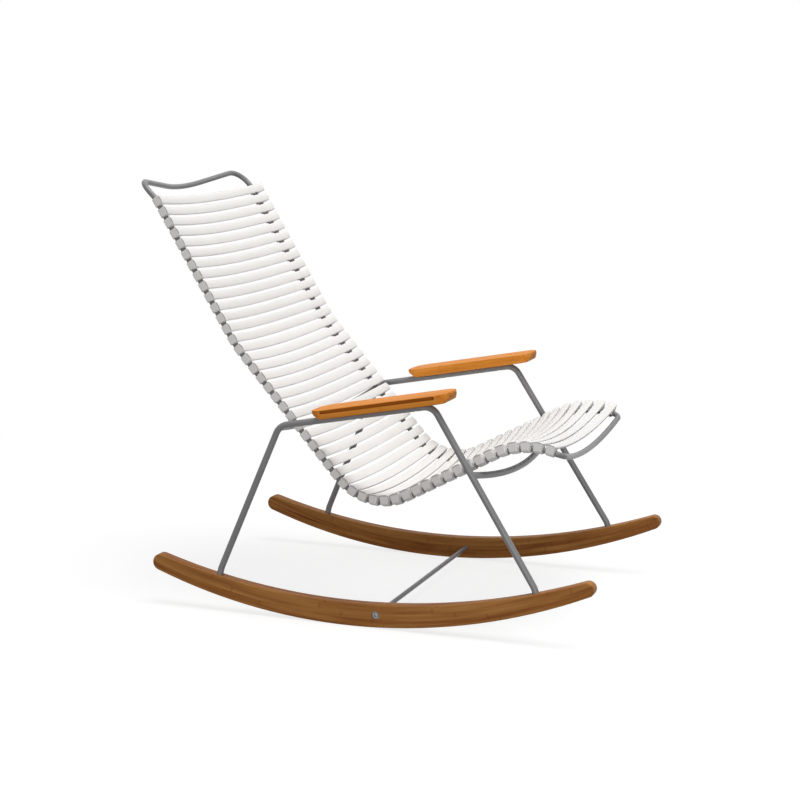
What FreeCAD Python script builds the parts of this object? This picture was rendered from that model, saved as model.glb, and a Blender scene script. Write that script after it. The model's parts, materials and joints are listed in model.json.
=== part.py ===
import FreeCAD, Part
import math
import os
import Sketcher

# Rocking lounge chair with a high slatted back.
# The chair faces -Y, +Z is up and +X is the sitter's left. The origin is on the floor, under the
# middle of the chair. Lengths are in millimetres and angles in degrees.

DOC = FreeCAD.newDocument("rocking_chair")
V = FreeCAD.Vector
Y_TO_Z_PLANE = FreeCAD.Rotation(V(1, 1, 1), 120)

DIMENSIONS = [
    ("frame_half_spacing", 300, "middle of the chair to a side frame, just above the runners"),
    ("frame_lean", 2.23, "the side frames lean inwards by this angle"),
    ("frame_lean_height", 100, "height about which they lean"),
    ("frame_tube_radius", 7, "bent steel tube of the side frames and cross tubes"),
    ("frame_tube_wall", 1.5, "wall of that tube"),
    ("rear_kink_y", 298, "rear leg: small kink above the runner"),
    ("rear_kink_z", 95, "height of that kink"),
    ("rear_corner_y", 163.4, "rear leg and arm rail, where their lines cross"),
    ("rear_corner_z", 412.2, "height of that corner"),
    ("front_corner_y", -177.2, "arm rail and front leg, where their lines cross"),
    ("front_corner_z", 475, "height of that corner"),
    ("front_kink_y", -400.8, "front leg: small kink above the runner"),
    ("front_kink_z", 117.5, "height of that kink"),
    ("rear_bend_radius", 32, "bend from rear leg to arm rail"),
    ("front_bend_radius", 30, "bend from arm rail to front leg"),
    ("kink_radius", 30, "bend at the kinks"),
    ("rear_foot_length", 39, "rear kink to the tube's end inside the runner"),
    ("front_foot_length", 28.6, "front kink to the tube's end inside the runner"),
    ("foot_plug_length", 18, "solid threaded plug in each tube end"),
    ("rocker_radius", 1275, "rolling arc under the runners"),
    ("rocker_centre_y", 6, "where that arc meets the floor"),
    ("runner_top_radius", 1490, "flatter arc along the top of a runner"),
    ("runner_height", 49.8, "height of a runner at its middle"),
    ("runner_thickness", 25, "thickness of a runner"),
    ("runner_edge_radius", 2.5, "rounding of the runner's long edges"),
    ("rear_round_y", 440, "centre of the runner's rounded rear end"),
    ("front_round_y", -513, "centre of the runner's rounded front end"),
    ("stretcher_y", -61.5, "rod between the runners"),
    ("stretcher_z", 28, "height of that rod"),
    ("stretcher_radius", 5, "radius of that rod"),
    ("loop_half_spacing", 241.5, "middle of the chair to the side tube of the seat loop"),
    ("loop_drop", 4.3, "side tube's centre below the line that carries the slats"),
    ("loop_tube_radius", 6, "bent steel tube of the seat loop"),
    ("loop_tube_wall", 1.5, "wall of that tube"),
    ("first_slat_y", 459.4, "uppermost slat, on the line that carries the slats"),
    ("first_slat_z", 871.9, "height of that point"),
    ("back_slope", 59.28, "slope of the upper back"),
    ("back_length", 323.75, "straight upper back from the first slat"),
    ("lumbar_turn", 10.15, "bend at the small of the back"),
    ("lumbar_radius", 271, "radius of that bend"),
    ("lower_back_length", 335.9, "straight lower back"),
    ("hollow_turn", 77.28, "bend of the seat hollow"),
    ("hollow_radius", 123.2, "radius of the seat hollow"),
    ("thigh_length", 217.3, "straight seat under the thighs"),
    ("crest_turn", 42, "bend over the front of the seat"),
    ("crest_radius", 172.6, "radius of that bend"),
    ("front_end_length", 6.3, "straight tube from the crest to the front corner"),
    ("head_lean_turn", 14.49, "the loop leans back above the first slat"),
    ("head_lean_radius", 60, "radius of that bend"),
    ("head_straight", 2.35, "straight tube from the first slat to that bend"),
    ("head_end_length", 45.5, "straight tube from that bend to the top corner"),
    ("loop_corner_radius", 36.6, "corners at the head of the seat loop"),
    ("front_loop_corner_radius", 16.6, "corners at the front of the seat loop"),
    ("top_bar_angle", 10.1, "slope of the top bar's straight ends"),
    ("top_bar_straight", 123.1, "length of those straight ends; between them the bar is bowed"),
    ("front_bar_angle", 13.3, "slope of the bowed front bar at its ends"),
    ("slat_pitch", 25.86, "spacing of the slats along the side tube"),
    ("slat_half_length", 260.5, "middle to end face of a slat"),
    ("slat_width", 19.5, "slat, along the seat"),
    ("slat_thickness", 6, "slat, at the middle of its width"),
    ("slat_crown", 1.3, "height of the crown across the slat"),
    ("slat_bow", 24, "sag of a slat at its middle"),
    ("slat_top", 15, "top of a slat's end above the line that carries the slats"),
    ("slat_recess", 0.8, "strip's end behind the face of the end clip"),
    ("slat_lip", 3.2, "strip's end that shows above the end clip"),
    ("clip_width", 18.8, "clip at the strip, along the seat"),
    ("clip_length", 27, "clip, across the chair"),
    ("clip_bottom", 4.6, "end face of the clip, below the line that carries the slats"),
    ("clip_mouth", 4.8, "low slot on the clip's inner side, through which it snaps onto the tube"),
    ("clip_foot_width", 15.4, "clip at its foot, along the seat"),
    ("clip_foot", 12.4, "lowest face of the clip, below the line that carries the slats"),
    ("clip_foot_reach", 16, "end face to the lowest face, where the clip tucks in below the tube"),
    ("clip_clearance", 0.45, "gap between clip and tube"),
    ("clip_edge", 1.1, "bevel round a clip's end face"),
    ("rear_cross_y", 159.9, "rear cross tube, where its ends meet the side frames"),
    ("rear_cross_z", 408.6, "height of those ends"),
    ("rear_cross_bow", 24.4, "how far its middle bows out, back and down"),
    ("rear_cross_tilt", 115.4, "turn of the rear bow about the tube's ends"),
    ("front_cross_y", -261.7, "front cross tube, where its ends meet the side frames"),
    ("front_cross_z", 338.3, "height of those ends"),
    ("front_cross_bow", 41.3, "how far its middle bows out, forward and down"),
    ("front_cross_tilt", 45.9, "turn of the front bow about the tube's ends"),
    ("rear_pin_radius", 3.5, "short pins that join the rear cross tube to the seat loop"),
    ("front_pin_radius", 2.5, "short pins that join the front legs to the seat loop"),
    ("front_pin_z", 346, "height of those pins at the leg, measured along its leaning plane"),
    ("front_pin_gap", 40.5, "slat spacings from the first slat to the gap that those pins pass through"),
    ("armrest_length", 307.5, "armrest at its top face"),
    ("armrest_width", 87, "armrest, across the chair"),
    ("armrest_thickness", 19.5, "armrest thickness"),
    ("rear_undercut", 24, "the rear end slopes in below by this much"),
    ("front_undercut", 10, "the front end slopes in below by this much"),
    ("undercut_height", 15.5, "height of those slopes"),
    ("armrest_corner", 29, "corners of the armrest in plan"),
    ("armrest_edge", 1.4, "rounding of the armrest's upper edge"),
    ("armrest_bevel", 1.6, "bevel of the armrest's lower edge"),
    ("armrest_middle_y", -76.2, "middle of the armrest"),
    ("armrest_middle_x", 290.5, "middle of the chair to the middle of an armrest"),
    ("groove_length", 254, "routed groove in the armrest's outer side"),
    ("groove_height", 7, "height of the groove"),
    ("groove_depth", 5, "depth of the groove"),
    ("groove_drop", 5.2, "armrest top to the groove's centre line"),
    ("arm_screw_reach", 65, "armrest middle to each of its two screws"),
    ("screw_radius", 2.5, "shank of the hidden frame screws"),
    ("screw_length", 18, "shank of those screws"),
    ("screw_head_radius", 3.6, "head of those screws"),
    ("screw_head_height", 3, "height of that head"),
    ("arm_screw_seat", 4.1, "underside of an armrest screw's head above the rail's centre, inside the tube"),
    ("screw_recess", 10.5, "depth of the foot screws' heads in the runner"),
    ("bolt_radius", 3, "shank of the screws that hold the stretcher"),
    ("bolt_length", 42, "length of that shank"),
    ("bolt_head_radius", 6.5, "their button heads"),
    ("bolt_head_height", 3.4, "height of that head"),
    ("bolt_socket_width", 5, "hexagon socket across its flats"),
    ("washer_radius", 8.6, "washer under each button head"),
    ("washer_height", 1.4, "thickness of the washer"),
    ("washer_sink", 3.6, "depth of the washer's seat in the runner"),
]


def fill_sheet():
    sheet = DOC.addObject("Spreadsheet::Sheet", "Sizes")
    for row, (alias, value, meaning) in enumerate(DIMENSIONS, start=1):
        sheet.set(f"A{row}", alias)
        sheet.set(f"B{row}", str(value))
        sheet.set(f"C{row}", meaning)
        sheet.setAlias(f"B{row}", alias)
    DOC.recompute()
    return sheet


SHEET = fill_sheet()
S = {alias: float(SHEET.get(alias)) for alias, _, _ in DIMENSIONS}
PARTS = []


def keep(obj, name):
    """Name a finished sub-part, so that it is checked and written."""
    obj.Label = name
    PARTS.append(obj)
    return obj


def bind(obj, **expressions):
    """Tie properties to the sheet. A double underscore in a name stands for a dot."""
    for prop, formula in expressions.items():
        text = formula
        for alias in sorted(S, key=len, reverse=True):
            text = text.replace("#" + alias, "Sizes." + alias)
        obj.setExpression(prop.replace("__", "."), text)
    return obj


def lean(degrees):
    """Rotation about X that lays a local Y axis back along a line rising forwards by this angle."""
    return FreeCAD.Rotation(V(1, 0, 0), -degrees)


def boolean(kind, name, base, tool):
    obj = DOC.addObject("Part::" + kind, name)
    obj.Base, obj.Tool = base, tool
    return obj


def fuse(name, shapes):
    obj = DOC.addObject("Part::MultiFuse", name)
    obj.Shapes = shapes
    return obj


def cylinder(name, radius, height, base, direction):
    """A cylinder from a base point along a direction. Radius and height are sheet formulas."""
    obj = DOC.addObject("Part::Cylinder", name)
    bind(obj, Radius=radius, Height=height)
    obj.Placement = FreeCAD.Placement(base, FreeCAD.Rotation(V(0, 0, 1), direction))
    return obj


# Plane paths. A path is a list of corner points with a bend radius at each inner corner.


def tangent_points(corners, radii):
    """The two ends and the centre of the bend at each inner corner."""
    bends = []
    for before, corner, after, radius in zip(corners, corners[1:], corners[2:], radii):
        back = (before - corner).normalize()
        ahead = (after - corner).normalize()
        half = back.getAngle(ahead) / 2
        reach = radius / math.tan(half)
        centre = corner + (back + ahead).normalize() * (radius / math.sin(half))
        bends.append((corner + back * reach, corner + ahead * reach, centre))
    return bends


def sketch_line(sketch, start, end):
    return sketch.addGeometry(Part.LineSegment(start, end), False)


def sketch_arc(sketch, start, end, centre):
    """A bend of less than half a turn. Returns its index and which of its ends is the start."""
    radius = (start - centre).Length
    first = math.atan2(start.y - centre.y, start.x - centre.x)
    last = math.atan2(end.y - centre.y, end.x - centre.x)
    forward = (last - first) % (2 * math.pi) < math.pi
    if not forward:
        first, last = last, first
    circle = Part.Circle(centre, V(0, 0, 1), radius)
    index = sketch.addGeometry(Part.ArcOfCircle(circle, first, last), False)
    return index, (1 if forward else 2)


def path_sketch(name, corners, radii, formulas, radius_formulas):
    """A bent line in a sketch. Its corner points and bend radii are tied to the sheet."""
    sketch = DOC.addObject("Sketcher::SketchObject", name)
    bends = tangent_points(corners, radii)
    starts = [corners[0]] + [bend[1] for bend in bends]
    ends = [bend[0] for bend in bends] + [corners[-1]]
    lines = [sketch_line(sketch, start, end) for start, end in zip(starts, ends)]
    for index, (start, end, centre) in enumerate(bends):
        arc, first = sketch_arc(sketch, start, end, centre)
        sketch.addConstraint(Sketcher.Constraint("Tangent", lines[index], 2, arc, first))
        sketch.addConstraint(Sketcher.Constraint("Tangent", arc, 3 - first, lines[index + 1], 1))
        row = sketch.addConstraint(Sketcher.Constraint("Radius", arc, radii[index]))
        bind_constraint(sketch, row, radius_formulas[index])
    for index, corner in enumerate(corners):
        if index in (0, len(corners) - 1):
            line, end = (lines[0], 1) if index == 0 else (lines[-1], 2)
        else:
            line, end = sketch.addGeometry(Part.Point(corner), True), 1
            sketch.addConstraint(Sketcher.Constraint("PointOnObject", line, end, lines[index - 1]))
            sketch.addConstraint(Sketcher.Constraint("PointOnObject", line, end, lines[index]))
        sizes = (("DistanceX", corner.x, formulas[index][0]), ("DistanceY", corner.y, formulas[index][1]))
        for kind, value, formula in sizes:
            row = sketch.addConstraint(Sketcher.Constraint(kind, -1, 1, line, end, value))
            bind_constraint(sketch, row, formula)
    return sketch


def bind_constraint(sketch, row, formula):
    for alias in sorted(S, key=len, reverse=True):
        formula = formula.replace("#" + alias, "Sizes." + alias)
    sketch.setExpression(f"Constraints[{row}]", formula)


def sweep(name, sketch, radius, start, direction):
    """A round rod along every edge of a sketch."""
    ring = DOC.addObject("Part::Circle", name + "_ring")
    bind(ring, Radius=radius)
    ring.Placement = FreeCAD.Placement(start, FreeCAD.Rotation(V(0, 0, 1), direction))
    DOC.recompute()
    rod = DOC.addObject("Part::Sweep", name)
    rod.Sections = [ring]
    rod.Spine = (sketch, [f"Edge{i + 1}" for i in range(len(sketch.Shape.Edges))])
    rod.Solid = True
    rod.Frenet = False
    return rod


# Side frames: each one is a single tube, bent from foot to foot.

ROCKER_CENTRE = V(S["rocker_centre_y"], S["rocker_radius"], 0)
REAR_KINK = V(S["rear_kink_y"], S["rear_kink_z"], 0)
FRONT_KINK = V(S["front_kink_y"], S["front_kink_z"], 0)
REAR_SQUARE = (REAR_KINK - ROCKER_CENTRE).normalize()
FRONT_SQUARE = (FRONT_KINK - ROCKER_CENTRE).normalize()
REAR_FOOT = REAR_KINK + REAR_SQUARE * S["rear_foot_length"]
FRONT_FOOT = FRONT_KINK + FRONT_SQUARE * S["front_foot_length"]
REAR_CORNER = V(S["rear_corner_y"], S["rear_corner_z"], 0)
FRONT_CORNER = V(S["front_corner_y"], S["front_corner_z"], 0)
RAIL_RISE = (FRONT_CORNER.y - REAR_CORNER.y) * math.cos(math.radians(S["frame_lean"]))
RAIL_SLOPE = math.degrees(math.atan2(RAIL_RISE, REAR_CORNER.x - FRONT_CORNER.x))


def in_side_plane(point):
    """A point of the side view, (Y, Z), as a point of the chair."""
    return V(0, point.x, point.y)


def lean_in(sign):
    """Placement that carries the side view to the left (1) or right (-1) side frame's plane."""
    turn = FreeCAD.Rotation(V(0, 1, 0), -sign * S["frame_lean"])
    pivot = V(0, 0, S["frame_lean_height"])
    return FreeCAD.Placement(V(sign * S["frame_half_spacing"], 0, 0) + pivot - turn.multVec(pivot), turn)


SIDES = (("left", 1), ("right", -1))
LEANING = {sign: lean_in(sign) for _, sign in SIDES}


def half_width_at(height):
    """Middle of the chair to the side frames' plane at this height."""
    turn = math.radians(S["frame_lean"])
    return S["frame_half_spacing"] - (height - S["frame_lean_height"]) * math.tan(turn)


def foot_formulas(kink, length):
    """Where a foot ends: square to the rocker's arc, this far below its kink."""
    across = f"(#{kink}_y - #rocker_centre_y)"
    down = f"(#{kink}_z - #rocker_radius)"
    reach = f"#{length} / sqrt({across} * {across} + {down} * {down})"
    return f"#{kink}_y + {across} * {reach}", f"#{kink}_z + {down} * {reach}"


def frame_path(name, sign):
    corners = [REAR_FOOT, REAR_KINK, REAR_CORNER, FRONT_CORNER, FRONT_KINK, FRONT_FOOT]
    formulas = [foot_formulas("rear_kink", "rear_foot_length")]
    inner_corners = ("rear_kink", "rear_corner", "front_corner", "front_kink")
    formulas += [(f"#{key}_y", f"#{key}_z") for key in inner_corners]
    formulas += [foot_formulas("front_kink", "front_foot_length")]
    bends = ["kink_radius", "rear_bend_radius", "front_bend_radius", "kink_radius"]
    sketch = path_sketch(name, corners, [S[key] for key in bends], formulas, ["#" + key for key in bends])
    sketch.Placement = LEANING[sign].multiply(FreeCAD.Placement(V(0, 0, 0), Y_TO_Z_PLANE))
    return sketch


def rail_point(distance, sign):
    """Point on the arm rail's centre line, this far in front of the armrest's middle."""
    forward = (FRONT_CORNER - REAR_CORNER).normalize()
    middle = REAR_CORNER + forward * ((S["armrest_middle_y"] - REAR_CORNER.x) / forward.x)
    return LEANING[sign].multVec(in_side_plane(middle + forward * distance))


RAIL_UP = V(0, math.sin(math.radians(RAIL_SLOPE)), math.cos(math.radians(RAIL_SLOPE)))
ARM_SCREWS = (-S["arm_screw_reach"], S["arm_screw_reach"])


def front_pin(name, sign):
    """Short pin from a front leg to the seat loop, through the gap between two slats' clips."""
    loop, angle = side_station(S["front_pin_gap"] * S["slat_pitch"])
    loop = loop - normal(angle) * S["loop_drop"]
    target = V(sign * S["loop_half_spacing"], loop.y, loop.z)
    down_leg = (FRONT_KINK - FRONT_CORNER).normalize()
    foot = FRONT_CORNER + down_leg * ((S["front_pin_z"] - FRONT_CORNER.y) / down_leg.y)
    start = LEANING[sign].multVec(in_side_plane(foot))
    reach = target - start
    pin = cylinder(name + "_pin", "#front_pin_radius", f"{reach.Length}", start, reach)
    cope = cylinder(name + "_pin_cope", "#loop_tube_radius", "40", target - along(angle) * 20, along(angle))
    return boolean("Cut", name + "_coped_pin", pin, cope)


def build_side_frames():
    """Both side frames. Returns their outer rods, for the cross tubes to fit against."""
    rods = []
    for side, sign in SIDES:
        place = LEANING[sign]
        name = "side_frame_" + side
        path = frame_path(name + "_path", sign)
        start = place.multVec(in_side_plane(REAR_FOOT))
        direction = place.Rotation.multVec(in_side_plane(REAR_SQUARE))
        rod = sweep(name + "_rod", path, "#frame_tube_radius", start, direction)
        core = sweep(name + "_core", path, "#frame_tube_radius - #frame_tube_wall", start, direction)
        plugs, openings = [], []
        feet = (("rear", REAR_FOOT, REAR_SQUARE), ("front", FRONT_FOOT, FRONT_SQUARE))
        for foot_name, foot, square in feet:
            end = place.multVec(in_side_plane(foot))
            down = place.Rotation.multVec(in_side_plane(square))
            plugs.append(cylinder(f"{name}_{foot_name}_plug", "#frame_tube_radius - #frame_tube_wall",
                                  "#foot_plug_length", end, down * -1))
            openings.append(cylinder(f"{name}_{foot_name}_thread", "#screw_radius + 0.05",
                                     "#foot_plug_length + 1", end + down, down * -1))
        for index, reach in enumerate(ARM_SCREWS):
            centre = rail_point(reach, sign)
            openings.append(cylinder(f"{name}_screw_hole_{index}", "#screw_radius + 0.1",
                                     "#frame_tube_radius * 2", centre, RAIL_UP))
            openings.append(cylinder(f"{name}_head_hole_{index}", "#screw_head_radius + 0.2",
                                     "#frame_tube_radius * 2", centre, RAIL_UP * -1))
        hollow = boolean("Cut", name + "_hollow", core, fuse(name + "_plugs", plugs))
        pinned = fuse(name + "_pinned", [rod, front_pin(name, sign)])
        tube = boolean("Cut", name + "_tube", pinned, hollow)
        keep(boolean("Cut", name, tube, fuse(name + "_openings", openings)), name)
        rods.append(rod)
    return rods


# The line that carries the slats in the side view, as straight runs and bends. Each run starts from
# the one before. The side tube of the seat loop runs parallel to it, a little below.


def side_bend(turn, radius, sign, drop):
    """Length and turn of a bend. A line below the slats' line has a wider or a tighter bend."""
    angle = math.radians(S[turn])
    return angle * (S[radius] + sign * drop), sign * angle


def side_runs(drop=0.0):
    """Length and turn of each run, from the first slat forwards, this far below the slats' line."""
    return [
        (S["back_length"], 0.0),
        side_bend("lumbar_turn", "lumbar_radius", 1, drop),
        (S["lower_back_length"], 0.0),
        side_bend("hollow_turn", "hollow_radius", 1, drop),
        (S["thigh_length"], 0.0),
        side_bend("crest_turn", "crest_radius", -1, drop),
        (S["front_end_length"], 0.0),
    ]


def advance(forward, height, angle, length, turn):
    """Follow a straight run or a bend of this length and total turn."""
    if turn == 0:
        return forward + length * math.cos(angle), height + length * math.sin(angle), angle
    radius = length / turn
    new_angle = angle + turn
    forward += radius * (math.sin(new_angle) - math.sin(angle))
    height -= radius * (math.cos(new_angle) - math.cos(angle))
    return forward, height, new_angle


def side_station(distance):
    """Point and direction of the slats' line, this far along it from the first slat."""
    state = (-S["first_slat_y"], S["first_slat_z"], -math.radians(S["back_slope"]))
    for length, turn in side_runs():
        part = min(distance, length)
        state = advance(*state, part, turn * part / length)
        distance -= part
        if distance <= 0:
            break
    forward, height, angle = state
    return V(0, -forward, height), angle


def along(angle):
    return V(0, -math.cos(angle), math.sin(angle))


def normal(angle):
    """Towards the sitter."""
    return V(0, math.sin(angle), math.cos(angle))


def run_edges(x, point, angle, runs):
    """Edges of consecutive runs in the plane of one side tube."""
    edges = []
    state = (-point.y, point.z, angle)
    for length, turn in runs:
        middle = advance(*state, length / 2, turn / 2)
        end = advance(*state, length, turn)
        a, b, c = (V(x, -item[0], item[1]) for item in (state, middle, end))
        edges.append(Part.LineSegment(a, c).toShape() if turn == 0 else Part.Arc(a, b, c).toShape())
        state = end
    return edges, V(0, -state[0], state[1]), state[2]


def bowed_bar(vertex, outward, away, slope, radius, straight):
    """Corner bend, straight end and half bow of a bar that joins the two side tubes.

    vertex is where the side tube's line meets the bar's end line, outward points along the side
    tube to that vertex, and away is the direction of the bow."""
    inward = V(-1, 0, 0) * math.cos(slope) + away * math.sin(slope)
    corner_start = vertex - outward * radius
    corner_end = vertex + inward * radius
    centre = corner_start + inward * radius
    corner_middle = centre + (vertex - centre).normalize() * radius
    bow_start = corner_end + inward * straight
    crown = V(0, bow_start.y, bow_start.z) + away * (bow_start.x * math.tan(slope / 2))
    return corner_start, corner_middle, corner_end, bow_start, crown


def mirror_x(point):
    return V(-point.x, point.y, point.z)


def loop_wire():
    """Centre line of the closed seat loop."""
    half, drop = S["loop_half_spacing"], S["loop_drop"]
    head_corner, front_corner = S["loop_corner_radius"], S["front_loop_corner_radius"]
    first, slope = side_station(0)
    first = first - normal(slope) * drop
    lean_turn = math.radians(S["head_lean_turn"])
    head_runs = [
        (S["head_straight"], 0.0),
        (lean_turn * S["head_lean_radius"], lean_turn),
        (S["head_end_length"] - head_corner, 0.0),
    ]
    head_edges, head_end, head_angle = run_edges(half, first, slope + math.pi, head_runs)
    seat_edges, seat_end, seat_angle = run_edges(half, first, slope, side_runs(drop))
    bars = []
    for end, angle, bow, away, corner, straight in (
        (head_end, head_angle, "top_bar_angle", normal(head_angle), head_corner, S["top_bar_straight"]),
        (seat_end, seat_angle, "front_bar_angle", normal(seat_angle) * -1, front_corner, 0),
    ):
        outward = along(angle)
        vertex = V(half, end.y, end.z) + outward * corner
        bar = bowed_bar(vertex, outward, away, math.radians(S[bow]), corner, straight)
        start, middle, stop, bow_start, crown = bar
        bars += [
            Part.Arc(start, middle, stop).toShape(),
            Part.Arc(bow_start, crown, mirror_x(bow_start)).toShape(),
            Part.Arc(mirror_x(stop), mirror_x(middle), mirror_x(start)).toShape(),
        ]
        if straight:
            bars.append(Part.LineSegment(stop, bow_start).toShape())
            bars.append(Part.LineSegment(mirror_x(bow_start), mirror_x(stop)).toShape())
    mirror = FreeCAD.Matrix()
    mirror.A11 = -1
    other_side = [edge.transformGeometry(mirror) for edge in head_edges + seat_edges]
    loose = head_edges + seat_edges + bars + other_side
    return Part.Wire(Part.__sortEdges__(loose)), first, slope


def build_seat_frame():
    """One closed loop of tube. It is swept in two halves from the head to the front bar."""
    wire, first, slope = loop_wire()
    start = V(S["loop_half_spacing"], first.y, first.z)
    shells = []
    for radius in (S["loop_tube_radius"], S["loop_tube_radius"] - S["loop_tube_wall"]):
        ordered = reorder_from(wire, start)
        ring = Part.Wire(Part.Circle(start, along(slope), radius).toShape())
        pipe = Part.BRepOffsetAPI.MakePipeShell(ordered)
        pipe.add(ring, False, False)
        pipe.setTransitionMode(1)
        pipe.build()
        pipe.makeSolid()
        shells.append(pipe.shape())
    frame = DOC.addObject("Part::Feature", "seat_frame")
    frame.Shape = shells[0].cut(shells[1])
    keep(frame, "seat_frame")


def reorder_from(wire, start):
    """The same closed wire, starting at the given point."""
    edges = list(wire.OrderedEdges)
    for shift in range(len(edges)):
        turned = edges[shift:] + edges[:shift]
        if turned[0].firstVertex(True).Point.distanceToPoint(start) < 1e-3:
            return Part.Wire(turned)
    raise ValueError("the loop does not pass through its starting point")


# Slats: identical bowed strips with a clip at each end that wraps round the side tube.


def slat_section():
    """Section of the strip: flat below and at the sides, crowned above. Local Y and Z."""
    half = S["slat_width"] / 2
    low = -S["slat_thickness"]
    shoulder = -S["slat_crown"]
    small, large = 0.8, 1.2
    lower = half - small
    upper = half - large
    points = [
        V(0, -lower, low), V(0, lower, low), V(0, half - 0.3 * small, low + 0.3 * small),
        V(0, half, low + small), V(0, half, shoulder - large),
        V(0, half - 0.3 * large, shoulder - 0.3 * large), V(0, upper, shoulder), V(0, 0, 0),
        V(0, -upper, shoulder), V(0, -half + 0.3 * large, shoulder - 0.3 * large),
        V(0, -half, shoulder - large), V(0, -half, low + small),
        V(0, -half + 0.3 * small, low + 0.3 * small),
    ]
    edges = [
        Part.LineSegment(points[0], points[1]).toShape(),
        Part.Arc(points[1], points[2], points[3]).toShape(),
        Part.LineSegment(points[3], points[4]).toShape(),
        Part.Arc(points[4], points[5], points[6]).toShape(),
        Part.Arc(points[6], points[7], points[8]).toShape(),
        Part.Arc(points[8], points[9], points[10]).toShape(),
        Part.LineSegment(points[10], points[11]).toShape(),
        Part.Arc(points[11], points[12], points[0]).toShape(),
    ]
    return Part.Wire(edges)


def bow_radius():
    half, sag = S["slat_half_length"], S["slat_bow"]
    return (half * half + sag * sag) / (2 * sag)


def slat_strip():
    """The bowed strip, as a turn about an axis across the chair, cut to length."""
    half, sag, radius = S["slat_half_length"], S["slat_bow"], bow_radius()
    spread = math.degrees(math.asin(half / radius)) + 1
    centre = V(0, 0, S["slat_top"] - sag + radius)
    section = Part.Face(slat_section())
    section.translate(V(0, 0, S["slat_top"] - sag))
    section.rotate(centre, V(0, 1, 0), spread)
    strip = section.revolve(centre, V(0, -1, 0), 2 * spread)
    reach = half - S["slat_recess"]
    room = Part.makeBox(2 * reach, 2 * S["slat_width"], 4 * sag + 40, V(-reach, -S["slat_width"], -2 * sag))
    return strip.common(room)


def clip_block():
    """The left end's clip: a cap behind a flat end face, with a bore for the tube and a slot into it."""
    half, length = S["slat_half_length"], S["clip_length"]
    top, foot = S["slat_top"] - S["slat_lip"], -S["clip_foot"]
    inner = half - length
    fall = bow_radius() - math.sqrt(bow_radius() ** 2 - half ** 2)
    inner_fall = bow_radius() - math.sqrt(bow_radius() ** 2 - inner ** 2)
    under_strip = S["slat_top"] - (fall - inner_fall) - S["slat_thickness"] / 2
    outline = [
        V(half, 0, top), V(half, 0, -S["clip_bottom"]), V(half - S["clip_foot_reach"], 0, foot),
        V(inner, 0, foot), V(inner, 0, under_strip), V(half - S["slat_recess"], 0, top),
    ]
    block = Part.Face(Part.makePolygon(outline + outline[:1])).extrude(V(0, S["slat_width"], 0))
    block.translate(V(0, -S["slat_width"] / 2, 0))
    wide, narrow = S["clip_width"] / 2, S["clip_foot_width"] / 2
    high, low = 30, foot - 1
    taper_start = 4
    taper = [
        V(0, -wide, high), V(0, wide, high), V(0, wide, taper_start),
        V(0, narrow, low), V(0, -narrow, low), V(0, -wide, taper_start),
    ]
    block = block.common(Part.Face(Part.makePolygon(taper + taper[:1])).extrude(V(half + 10, 0, 0)))
    rims = [
        edge for edge in block.Edges
        if all(abs(vertex.X - half) < 1e-6 for vertex in edge.Vertexes) and edge.CenterOfMass.z < top - 1e-3
    ]
    block = block.makeChamfer(S["clip_edge"], rims)
    bore = S["loop_tube_radius"] + S["clip_clearance"]
    tube = V(S["loop_half_spacing"], -S["slat_width"], -S["loop_drop"])
    channel = Part.makeCylinder(bore, 2 * S["slat_width"], tube, V(0, 1, 0))
    mouth = Part.makeBox(40, 2 * S["slat_width"], S["clip_mouth"], tube - V(40, 0, bore))
    return block.cut(channel.fuse(mouth))


def slat_shape():
    left = clip_block()
    right = left.mirror(V(0, 0, 0), V(1, 0, 0))
    return slat_strip().fuse([left, right]).removeSplitter().Solids[0]


def build_slats():
    shape = slat_shape()
    for number in range(48):
        point, angle = side_station(number * S["slat_pitch"])
        slat = DOC.addObject("Part::Feature", f"slat_{number + 1:02d}")
        slat.Shape = shape
        slat.Placement = FreeCAD.Placement(point, lean(math.degrees(angle)))
        keep(slat, f"slat_{number + 1:02d}")


# Cross tubes: bowed clear of the slats and coped to the side frames at their ends. The rear one is
# joined to the seat loop by a short pin near each end.


def nearest_station(point):
    """Distance along the slats' line, from the first slat, of its point nearest to this one."""
    total = sum(length for length, _ in side_runs())
    stations = [step * 0.5 for step in range(int(total * 2))]
    return min(stations, key=lambda distance: side_station(distance)[0].distanceToPoint(point))


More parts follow.
